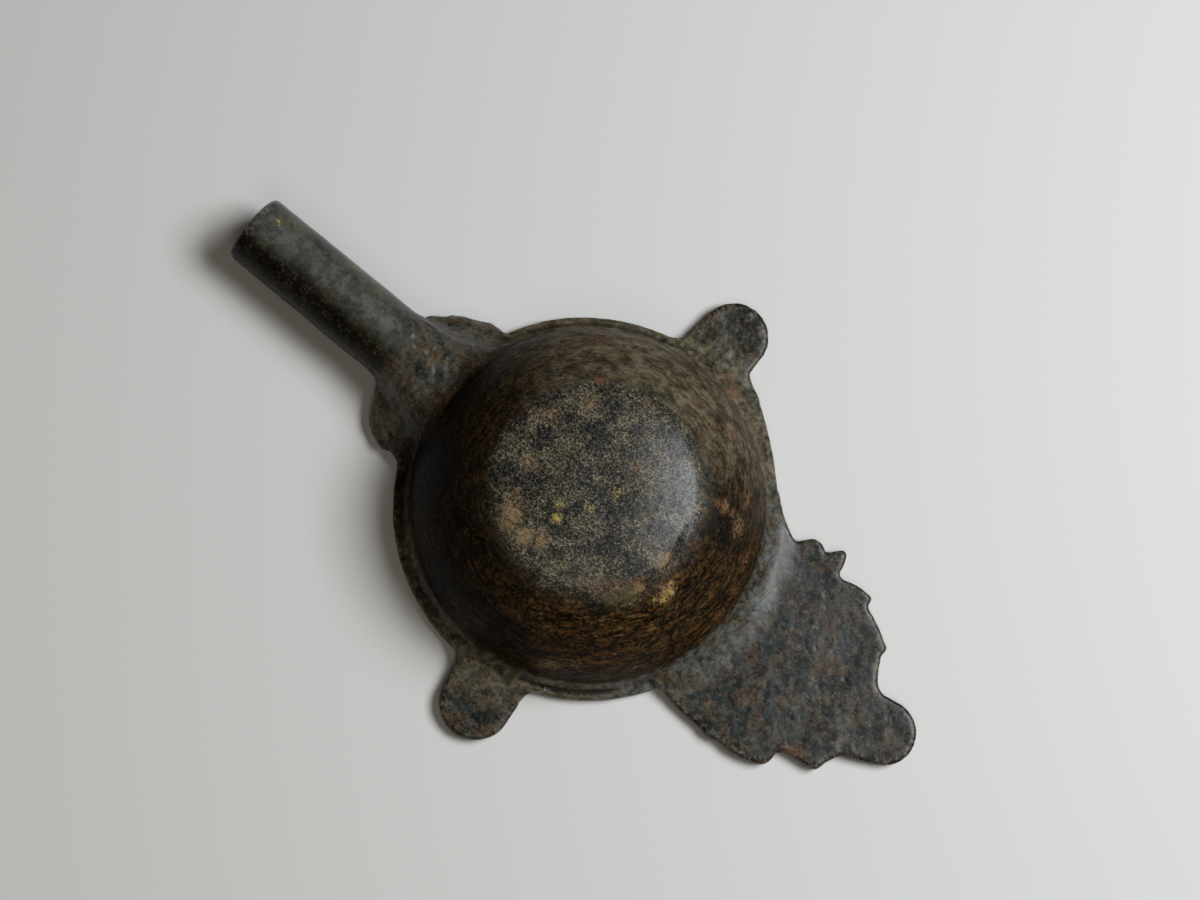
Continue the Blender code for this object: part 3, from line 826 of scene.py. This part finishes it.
def worn_edges(skin):
    """Ridge and hollow of every place, from how far it stands off its surroundings."""
    near = skin.spread(skin.at, 5)
    stand = np.einsum("ij,ij->i", skin.at - near, skin.normal)
    far = skin.spread(skin.at, 26)
    stand_far = np.einsum("ij,ij->i", skin.at - far, skin.normal)
    stand = skin.spread(stand, 1)
    ridge = np.clip(stand / (0.055 * MM), 0, 1) * 0.6 + np.clip(stand_far / (0.22 * MM), 0, 1) * 0.4
    hollow = np.clip((-stand - 0.05 * MM) / (0.07 * MM), 0, 1) * 0.9
    return np.clip(ridge, 0, 1), np.clip(hollow, 0, 1)


def dab(skin, spots):
    """Soft round dabs, each a place in mm from the bowl's axis, a radius in mm and a strength."""
    total = np.zeros(len(skin.at))
    for x, y, z, radius, strength in spots:
        square = (skin.x - x * MM) ** 2 + (skin.y - y * MM) ** 2 + (skin.z - z * MM) ** 2
        total = np.maximum(total, strength * np.exp(-square / (radius * MM) ** 2))
    return np.clip(total, 0.0, 1.0)


def record_wear(skin, zone):
    """Everything that the materials read from the skin."""
    ridge, hollow = worn_edges(skin)
    skin.keep("edge_wear", ridge)
    skin.keep("hollow_dirt", hollow)
    for name in ("spout", "root", "base"):
        skin.keep("zone_" + name, skin.spread(zone[name], 3))
    stains = {
        "bright_rub": BRIGHT_DABS,
        "tan_film": TAN_DABS,
        "rust_film": RUST_DABS,
        "green_film": GREEN_DABS,
        "black_film_and_shade": BLACK_DABS_AND_SHADE,
    }
    for name, spots in stains.items():
        skin.keep(name, dab(skin, spots))
    skin.keep("free_lip", skin.spread(zone["lip"], 1))
    # Sides of the bowl by the turn of their middle: gilt -34, lit 100 (painted light), handle 0 (ledge with
    # painted sheen), shaded 165 and -165 (painted shade)
    turn = skin.turn
    from_left = np.abs(np.abs(turn) - 165.0)
    skin.keep("gilt_side", ease(np.abs(turn + 34.0), 72.0, 22.0))
    # Painted light: the side of the wall towards the window is made paler
    skin.keep("painted_light_side", ease(np.abs(turn - 100.0), 80.0, 30.0))
    # Dusting on the ledge that is also painted light: kept off the shaded left, narrower and blue-grey as
    # painted sheen on the handle side
    slate = ease(np.abs(turn), 60.0, 34.0)
    ledge = ease(skin.r, 28.6 * MM, 29.7 * MM) * ease(skin.r, 39.5 * MM - slate * 2 * MM, 31.4 * MM)
    ledge *= ease(skin.z, 8.5 * MM, 5.0 * MM) * (1 - zone["root"])
    away_from_left = 1.0 - 0.95 * ease(from_left, 46.0, 14.0)
    skin.keep("ledge_dust_and_light", ledge * away_from_left)
    skin.keep("handle_side_sheen", slate)
    # Painted shade: on the left, the side away from the window, the wall's near-black film is carried out
    # over the lip
    left = ease(from_left, 52.0, 26.0) * (1 - zone["root"]) * (1 - zone["spout"])
    dark = np.maximum(zone["wall"], left * ease(skin.r, 37 * MM, 33 * MM))
    skin.keep("zone_wall_and_left_shade", skin.spread(dark, 3))
    lit_side = ease(skin.y, -2.6 * MM, 1.0 * MM)
    about = np.degrees(np.arctan2(skin.z - SPOUT_HEIGHT, skin.y))
    # Painted highlight: a lighter band along the top of the spout
    skin.keep("painted_sheen_top", ease(np.abs(about - 76.0), 48.0, 8.0) * ease(-skin.x, 34 * MM, 46 * MM))
    # Painted shade: the spout's flank away from the window is darkened
    skin.keep("painted_shade_low_side", ease(about, 96.0, 128.0) * zone["spout"])
    coat = 0.22 * (1 - left) * (1 - 0.5 * zone["ear"]) + (0.75 * lit_side - 0.22) * zone["spout"]
    skin.keep("coat", skin.spread(coat, 2))


# Node handling


class Wire:
    """A value or colour that changes over the surface; + - * and abs add the node for it."""

    def __init__(self, socket):
        self.socket = socket
        self.tree = socket.id_data

    def __add__(self, other):
        return calc(self.tree, "ADD", self, other)

    def __sub__(self, other):
        return calc(self.tree, "SUBTRACT", self, other)

    def __mul__(self, other):
        return calc(self.tree, "MULTIPLY", self, other)

    def __abs__(self):
        return calc(self.tree, "ABSOLUTE", self)

    def stretch(self, low, high, to_low=0.0, to_high=1.0):
        """Eased ramp of the value from one range to another."""
        ends = {"Value": self, "From Min": low, "From Max": high, "To Min": to_low, "To Max": to_high}
        return put(self.tree, "MapRange", ends, interpolation_type="SMOOTHSTEP")["Result"]


def put(tree, kind, wires=None, **settings):
    """Add a shader node, link or set its inputs, and give its outputs by number and by name."""
    added = tree.nodes.new("ShaderNode" + kind)
    for key, value in settings.items():
        setattr(added, key, value)
    for key, value in (wires or {}).items():
        connect(added.inputs[key], value)
    made = {}
    for number, socket in enumerate(added.outputs):
        made[number] = Wire(socket)
        made.setdefault(socket.name, made[number])
    return made


def connect(socket, value):
    """Link a wire to a socket, or set the socket to a plain value."""
    if isinstance(value, Wire):
        socket.id_data.links.new(value.socket, socket)
    else:
        socket.default_value = value


def calc(tree, operation, a, b=0.0):
    return put(tree, "Math", {0: a, 1: b}, operation=operation)[0]


def noise(place, scale, detail=2.0, roughness=0.5):
    """Cloudy values around one half."""
    wires = {"Vector": place, "Scale": scale, "Detail": detail, "Roughness": roughness}
    return put(place.tree, "TexNoise", wires)["Fac"]


def colour(red, green, blue):
    """Linear colour from the 0 to 255 values of a paint chart."""
    shares = (c / 255 for c in (red, green, blue))
    return tuple(((c + 0.055) / 1.055) ** 2.4 if c > 0.04 else c / 12.92 for c in shares) + (1.0,)


def blend(mask, under, over):
    """One colour laid over another through a mask; a plain colour has values of 0 to 255."""
    under, over = (c if isinstance(c, Wire) else colour(*c) for c in (under, over))
    return put(mask.tree, "Mix", {0: mask, 6: under, 7: over}, data_type="RGBA", clamp_factor=True)[2]


def about_axis(place):
    """A place's three numbers, the place dropped to the floor, and its distance from the axis."""
    parts = put(place.tree, "SeparateXYZ", {0: place})
    flat = put(place.tree, "CombineXYZ", {0: parts[0], 1: parts[1], 2: 0.0})[0]
    return parts, flat, put(place.tree, "VectorMath", {0: flat}, operation="LENGTH")["Value"]


# Effects

SOCKET_KINDS = {
    "Place": "NodeSocketVector", "Under": "NodeSocketColor", "Over": "NodeSocketColor",
    "Colour": "NodeSocketColor",
}


def effect(name, inputs, outputs):
    """An empty node group with named sockets, its numbers set to start with."""
    group = bpy.data.node_groups.new(name, "ShaderNodeTree")
    for label, value in inputs.items():
        kind = SOCKET_KINDS.get(label, "NodeSocketFloat")
        socket = group.interface.new_socket(label, in_out="INPUT", socket_type=kind)
        if value is not None:
            socket.default_value = value
    for label in outputs:
        kind = SOCKET_KINDS.get(label, "NodeSocketFloat")
        group.interface.new_socket(label, in_out="OUTPUT", socket_type=kind)
    given = {socket.name: Wire(socket) for socket in group.nodes.new("NodeGroupInput").outputs}
    return group, given, group.nodes.new("NodeGroupOutput").inputs


def use(tree, group, **values):
    """Place an effect in a material; underscores in a name stand for spaces."""
    placed = tree.nodes.new("ShaderNodeGroup")
    placed.node_tree = group
    for key, value in values.items():
        connect(placed.inputs[key.replace("_", " ").capitalize()], value)
    return {socket.name: Wire(socket) for socket in placed.outputs}


def gate(value, given):
    """Mask of where a value passes the level, over its softness."""
    return value.stretch(given["Level"] - given["Softness"], given["Level"] + given["Softness"])


def cells_of(group, given):
    """Small cells: how far each place is from its cell's middle, and the cell's own number."""
    cells = put(group, "TexVoronoi", {"Vector": given["Place"], "Scale": given["Per metre"]}, feature="F1")
    return cells["Distance"], put(group, "SeparateColor", {0: cells["Color"]})[0]


def patches_effect():
    """Soft patches with ragged edges."""
    group, given, out = effect(
        "patches",
        {"Place": None, "Per metre": 300.0, "Level": 0.5, "Softness": 0.08, "Ragged": 0.5},
        ["Mask"],
    )
    broad = noise(given["Place"], given["Per metre"], 4.0, 0.6)
    fine = noise(given["Place"], given["Per metre"] * 6.3, 3.0, 0.6)
    connect(out["Mask"], gate(broad + (fine - 0.5) * given["Ragged"], given))
    return group


def streaks_effect():
    """Streaks that run round the bowl, as turning leaves them."""
    group, given, out = effect(
        "turning_streaks",
        {"Place": None, "Along": 120.0, "Across": 1500.0, "Level": 0.5, "Softness": 0.08},
        ["Mask", "Height"],
    )
    parts, flat, radius = about_axis(given["Place"])
    ring = put(group, "VectorMath", {0: flat}, operation="NORMALIZE")[0]
    for size in (STREAK_RADIUS, given["Along"]):
        ring = put(group, "VectorMath", {0: ring, "Scale": size}, operation="SCALE")[0]
    drift = noise(given["Place"], 160.0, 1.0)
    down = (parts[2] - radius + drift * STREAK_DRIFT) * given["Across"]
    round_about = put(group, "SeparateXYZ", {0: ring})
    spot = put(group, "CombineXYZ", {0: round_about[0], 1: round_about[1], 2: down})[0]
    streak = noise(spot, 1.0, 3.0, 0.6)
    connect(out["Mask"], gate(streak, given))
    connect(out["Height"], streak)
    return group


def grain_effect():
    """Round grains, each with a tone of its own, and the dark gaps among them."""
    group, given, out = effect(
        "cast_grain",
        {"Place": None, "Per metre": 2500.0, "Low": 0.6, "High": 0.9},
        ["Grain", "Dark", "Tone", "Height"],
    )
    shaken = noise(given["Place"], given["Per metre"] * 0.4, 3.0, 0.6)
    distance, number = cells_of(group, given)
    tone = number + (shaken - 0.5) * 1.4
    round_off = distance.stretch(0.75, 0.25)
    grain = tone.stretch(given["Low"], given["High"]) * round_off
    connect(out["Tone"], tone)
    connect(out["Grain"], grain)
    connect(out["Dark"], tone.stretch(0.38, 0.12) * round_off)
    connect(out["Height"], grain * 0.45 + shaken * 0.55)
    return group


def pinholes_effect():
    """Scattered pinholes, in a share of the cells."""
    group, given, out = effect("pinholes", {"Place": None, "Per metre": 900.0, "Share": 0.4}, ["Hole"])
    distance, number = cells_of(group, given)
    chosen = calc(group, "LESS_THAN", number, given["Share"])
    connect(out["Hole"], distance.stretch(0.42, 0.12) * chosen)
    return group


def stain_effect():
    """A colour over another where it is painted, with a torn edge."""
    group, given, out = effect(
        "stain",
        {"Under": None, "Over": None, "Painted": 0.0, "Breakup": 0.5, "Strength": 1.0},
        ["Colour", "Mask"],
    )
    torn = given["Painted"] + (given["Breakup"] - 0.5) * 3.0
    mask = torn.stretch(0.25, 0.85) * given["Painted"].stretch(0.03, 0.30) * given["Strength"]
    connect(out["Colour"], blend(mask, given["Under"], given["Over"]))
    connect(out["Mask"], mask)
    return group


class Finish:
    """A material in the making, about the bowl's axis; each effect has a short call for it."""

    def __init__(self, name, effects):
        self.material = bpy.data.materials.new(name)
        self.material.use_nodes = True
        self.tree = self.material.node_tree
        self.shader = self.tree.nodes["Principled BSDF"]
        self.effects = effects
        place = put(self.tree, "TexCoord")["Object"]
        centre = {"Vector": place, "Location": (-AXIS_X, -AXIS_Y, 0.0)}
        self.place = put(self.tree, "Mapping", centre)[0]

    def painted(self, name):
        """A value that record_wear kept."""
        return put(self.tree, "Attribute", attribute_name=name)["Fac"]

    def noise(self, *amounts):
        return noise(self.place, *amounts)

    def add(self, name, **values):
        return use(self.tree, self.effects[name], place=self.place, **values)

    def patches(self, per_metre, level, softness, ragged):
        amounts = {"per_metre": per_metre, "level": level, "softness": softness, "ragged": ragged}
        return self.add("patches", **amounts)["Mask"]

    def streaks(self, along, across, level, softness):
        return self.add("streaks", along=along, across=across, level=level, softness=softness)

    def grain(self, per_metre, low=0.35, high=0.9):
        return self.add("grain", per_metre=per_metre, low=low, high=high)

    def pinholes(self, per_metre, share):
        return self.add("pinholes", per_metre=per_metre, share=share)["Hole"]

    def stain(self, name, under, over, breakup, strength):
        return use(
            self.tree, self.effects["stain"], under=under, over=colour(*over),
            painted=self.painted(name), breakup=breakup, strength=strength,
        )

    def gloss(self, specular, coat=None, coat_roughness=0.0):
        """Gloss of the patina itself, and of a waxy coat where there is one."""
        self.shader.inputs["Specular IOR Level"].default_value = specular
        if coat is not None:
            connect(self.shader.inputs["Coat Weight"], coat)
            self.shader.inputs["Coat Roughness"].default_value = coat_roughness

    def complete(self, film, bare, roughness, height, depth):
        """Wire colour, bare metal, roughness and relief to the shader."""
        connect(self.shader.inputs["Base Color"], film)
        if bare is not None:
            connect(self.shader.inputs["Metallic"], bare * BARE_METAL)
        connect(self.shader.inputs["Roughness"], roughness)
        relief = {"Strength": 1.0, "Distance": depth, "Height": height}
        connect(self.shader.inputs["Normal"], put(self.tree, "Bump", relief)[0])
        return self.material


# Films of the patina, each colour with values of 0 to 255


def plate_film(mix):
    """Colour of the cast plates and the spout's root: dark slate, soft brown patches, fine mottle."""
    mottle = mix.noise(520.0, 6.0, 0.68).stretch(0.40, 0.62)
    film = blend(mottle, (8, 12, 11), (40, 49, 46))
    brown = mix.patches(330.0, 0.54, 0.11, 0.8)
    film = blend(brown * 0.52, film, (86, 66, 45))
    film = blend(mix.patches(620.0, 0.57, 0.08, 1.0) * 0.80, film, (9, 11, 10))
    film = blend(mix.patches(1000.0, 0.64, 0.09, 0.7) * 0.45, film, (118, 104, 84))
    olive = mix.patches(260.0, 0.52, 0.14, 0.8)
    tube = blend(olive, (11, 12, 7), (35, 37, 24))
    tube = blend(brown * 0.25, tube, (80, 52, 30))
    root = blend(mix.patches(420.0, 0.50, 0.15, 0.6), (27, 30, 27), (98, 80, 58))
    root = blend(olive * 0.45, root, (76, 84, 84))
    film = blend(mix.painted("zone_root") * 0.52, film, root)
    film = blend(mix.painted("zone_spout"), film, tube)
    # Painted highlight: a lighter band along the top of the spout
    sheen_band = mix.painted("painted_sheen_top") * mottle.stretch(0.0, 1.0, 0.35, 0.85)
    film = blend(sheen_band, film, (82, 84, 80))
    # Painted shade: the spout's flank away from the window is darkened
    film = blend(mix.painted("painted_shade_low_side") * 0.75, film, (10, 7, 4))
    return film, mottle


def wall_film(mix, mottle):
    """Colour of the turned wall: near black, with brown and golden streaks round the bowl."""
    broad = mix.patches(150.0, 0.50, 0.14, 0.7)
    # Painted light: on the side towards the window the wall is paler, its streaks are paler, and its dark
    # streaks and soot are fewer
    light_paint, gilded = mix.painted("painted_light_side"), mix.painted("gilt_side")
    film = blend(broad, (10, 6, 1), (27, 19, 8))
    cloudy = mix.noise(330.0, 5.0, 0.68).stretch(0.38, 0.62, 0.15, 0.95)
    film = blend(light_paint * cloudy, film, (104, 95, 76))
    warm = blend(light_paint, (90, 60, 27), (110, 88, 62))
    reach = gilded * 0.28 + 0.22
    film = blend(mix.patches(300.0, 0.53, 0.08, 1.2) * reach, film, warm)
    film = blend(mix.streaks(330.0, 860.0, 0.55, 0.09)["Mask"] * reach, film, warm)
    black = mix.streaks(430.0, 950.0, 0.53, 0.07)["Mask"]
    film = blend(black * light_paint.stretch(0.0, 1.0, 0.85, 0.48), film, (9, 8, 4))
    thin = mix.streaks(430.0, 1900.0, 0.58, 0.06)
    gilt = thin["Mask"] * mottle.stretch(0.2, 0.9, 0.15, 1.0)
    gilt = gilt * (gilded * 0.40 + 0.08) * (broad * 0.65 + 0.35)
    film = blend(gilt, film, (148, 114, 62))
    sooty = mix.noise(1300.0, 4.0, 0.7).stretch(0.48, 0.61, 0.0, 0.80)
    film = blend(sooty * light_paint.stretch(0.0, 1.0, 1.0, 0.6), film, (9, 7, 4))
    return film, thin["Height"]


def aged(mix, film, grain):
    """Films and stains, then edges worn paler and hollows filled with dirt."""
    breakup = mix.noise(1900.0, 6.0, 0.85)
    # The black film is dark patina, and on the left of the wall painted shade
    for name, tint, strength in (
        ("black_film_and_shade", (12, 11, 10), 0.9),
        ("tan_film", (146, 118, 86), 0.85),
        ("rust_film", (114, 77, 51), 0.75),
        ("green_film", (98, 92, 62), 0.50),
    ):
        film = mix.stain(name, film, tint, breakup, strength)["Colour"]
    rub = mix.stain("bright_rub", film, (186, 162, 92), mix.noise(2600.0, 4.0, 0.85), 1.0)
    film = blend(grain * mix.painted("edge_wear") * 0.6, rub["Colour"], (112, 100, 82))
    film = blend(mix.painted("hollow_dirt") * 0.7, film, (20, 15, 11))
    return film, rub["Mask"]


def outside_film(mix):
    """Plates and wall run into each other under a light-coloured dusting on the lip's ledge that is
    also painted light; the lip's groove is coloured near black."""
    film, mottle = plate_film(mix)
    side, lines = wall_film(mix, mottle)
    # On the left this lays the wall's near-black film over the lip too, as painted shade
    film = blend(mix.painted("zone_wall_and_left_shade"), film, side)
    ledge_breakup = mix.noise(900.0, 5.0, 0.75).stretch(0.38, 0.62, 0.10, 0.85)
    # Painted sheen: on the handle side the ledge's dusting is blue-grey
    dust_and_light = blend(mix.painted("handle_side_sheen"), (116, 105, 82), (96, 99, 98))
    dust_and_light = blend(mottle, (70, 61, 44), dust_and_light)
    film = blend(mix.painted("ledge_dust_and_light") * ledge_breakup, film, dust_and_light)
    # The groove in the lip is coloured near black
    radius = about_axis(mix.place)[2] + (mottle - 0.5) * (0.18 * MM)
    groove = abs(radius - LIP_GROOVE_AT).stretch(0.42 * MM, 0.14 * MM) * mix.painted("free_lip")
    return blend(groove * 0.9, film, (9, 8, 6)), lines


def cast_patina(mix):
    """Plates, spout and its root, as cast; a waxy coat shines where the casting is handled."""
    film, _ = outside_film(mix)
    grain = mix.grain(1700.0)
    film, bare = aged(mix, film, grain["Grain"])
    mix.gloss(0.10, mix.painted("coat"), 0.33)
    roughness = mix.noise(700.0, 3.0, 0.6).stretch(0.3, 0.7, 0.30, 0.42)
    roughness = roughness + mix.painted("hollow_dirt") * 0.25
    height = grain["Height"] * 0.6 - mix.pinholes(1100.0, 0.30) * 0.3
    return mix.complete(film, bare, roughness, height, 0.05 * MM)


def wall_patina(mix):
    """Turned wall: dull and deep, so that only its streaks are seen."""
    film, lines = outside_film(mix)
    grain = mix.grain(2100.0)
    film, bare = aged(mix, film, grain["Grain"])
    mix.gloss(0.03)
    roughness = mix.noise(700.0, 3.0, 0.6).stretch(0.3, 0.7, 0.42, 0.60)
    height = grain["Height"] * 0.4 + lines * 0.6 - mix.pinholes(1100.0, 0.30) * 0.15
    return mix.complete(film, bare, roughness, height, 0.12 * MM)


def base_patina(mix):
    """Base disc: glossy blue-black with a speckle of light grains, partly painted glints, that thins out in
    places.
    """
    side, _ = outside_film(mix)
    speck = mix.grain(5400.0, 0.50)
    tone = mix.noise(260.0, 6.0, 0.66).stretch(0.42, 0.60)
    film = blend(tone, (15, 17, 20), (52, 46, 34))
    # Light grains, partly the disc's own and partly painted glints
    fleck_and_glint = speck["Tone"].stretch(0.35, 1.15) * tone.stretch(0.0, 1.0, 0.42, 1.0)
    film = blend(fleck_and_glint, film, (134, 126, 106))
    film = blend(speck["Dark"] * 0.85, film, (7, 8, 9))
    lengthwise = {"Vector": mix.place, "Rotation": (0.0, 0.0, SCRATCH_TURN), "Scale": (0.16, 1.0, 1.0)}
    turned = put(mix.tree, "Mapping", lengthwise)[0]
    scratches = noise(turned, 2300.0, 3.0, 0.6).stretch(0.44, 0.62, 0.0, 0.38)
    film = blend(scratches, film, (10, 11, 13))
    base, edge = mix.painted("zone_base"), (mix.noise(420.0, 3.0, 0.6) - 0.5) * 1.2
    film = blend((base + edge).stretch(0.2, 0.8), side, film)
    grain = mix.grain(1700.0)
    film, bare = aged(mix, film, grain["Grain"])
    shine = (base + edge * 0.6).stretch(0.1, 0.9, 0.0, 0.26)
    broken = mix.noise(2400.0, 3.0, 0.65).stretch(0.38, 0.62, 0.25, 1.35)
    mix.gloss(0.12, shine * broken, 0.29)
    roughness = mix.noise(900.0, 3.0, 0.6).stretch(0.3, 0.7, 0.27, 0.39)
    roughness = roughness + base.stretch(0.6, 0.0) * 0.15
    height = grain["Height"] * 0.45 + speck["Height"] * 0.35
    return mix.complete(film, bare, roughness, height, 0.10 * MM)


def inside_patina(mix):
    """Dull, sooty film in the hollow and the bore, with some rust and old residue."""
    film = blend(mix.patches(90.0, 0.50, 0.16, 0.6), (26, 22, 18), (66, 50, 35))
    streak = mix.streaks(160.0, 500.0, 0.58, 0.10)
    film = blend(streak["Mask"] * 0.45, film, (92, 68, 46))
    film = blend(mix.patches(700.0, 0.60, 0.08, 0.9) * 0.5, film, (100, 92, 78))
    film = blend(mix.painted("hollow_dirt") * 0.7, film, (18, 14, 10))
    roughness = mix.noise(500.0, 3.0, 0.6).stretch(0.3, 0.7, 0.52, 0.72)
    height = mix.grain(1600.0, 0.4)["Height"] + streak["Height"] * 0.5 - mix.pinholes(900.0, 0.25) * 0.5
    return mix.complete(film, None, roughness, height, 0.14 * MM)


def dress(casting, skin, zone):
    """A finish for each part of the casting: plates and spout, wall, base, hollow and bore."""
    effects = {
        "patches": patches_effect(),
        "streaks": streaks_effect(),
        "grain": grain_effect(),
        "pinholes": pinholes_effect(),
        "stain": stain_effect(),
    }
    for finish in (cast_patina, wall_patina, base_patina, inside_patina):
        casting.data.materials.append(finish(Finish(finish.__name__, effects)))
    wobble = lumps(skin.at, size=3.0 * MM, seed=8, octaves=2) * 1.6 * MM
    kind = np.zeros(len(skin.at), dtype=int)
    kind[zone["wall"] > 0.5] = 1
    kind[(skin.r + wobble < BASE_FINISH_RADIUS) & (skin.z > BASE_FINISH_ABOVE)] = 2
    kind[zone["within"] > 0.5] = 3
    # A face goes to the hollow only when all its corners do
    slots = [min(int(kind[v]) for v in face.vertices) for face in casting.data.polygons]
    casting.data.polygons.foreach_set("material_index", slots)
    only(casting)
    bpy.ops.object.shade_smooth()


stage()
camera_from_photo_angle()
casting = cast_whole()
fine_skin(casting)
thin_out_inside(casting)
skin = Skin(casting)
zone = zones(skin)
sculpt(skin, zone)
record_wear(skin, zone)
dress(casting, skin, zone)

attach(casting, "root")
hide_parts("oil_lamp_filler")
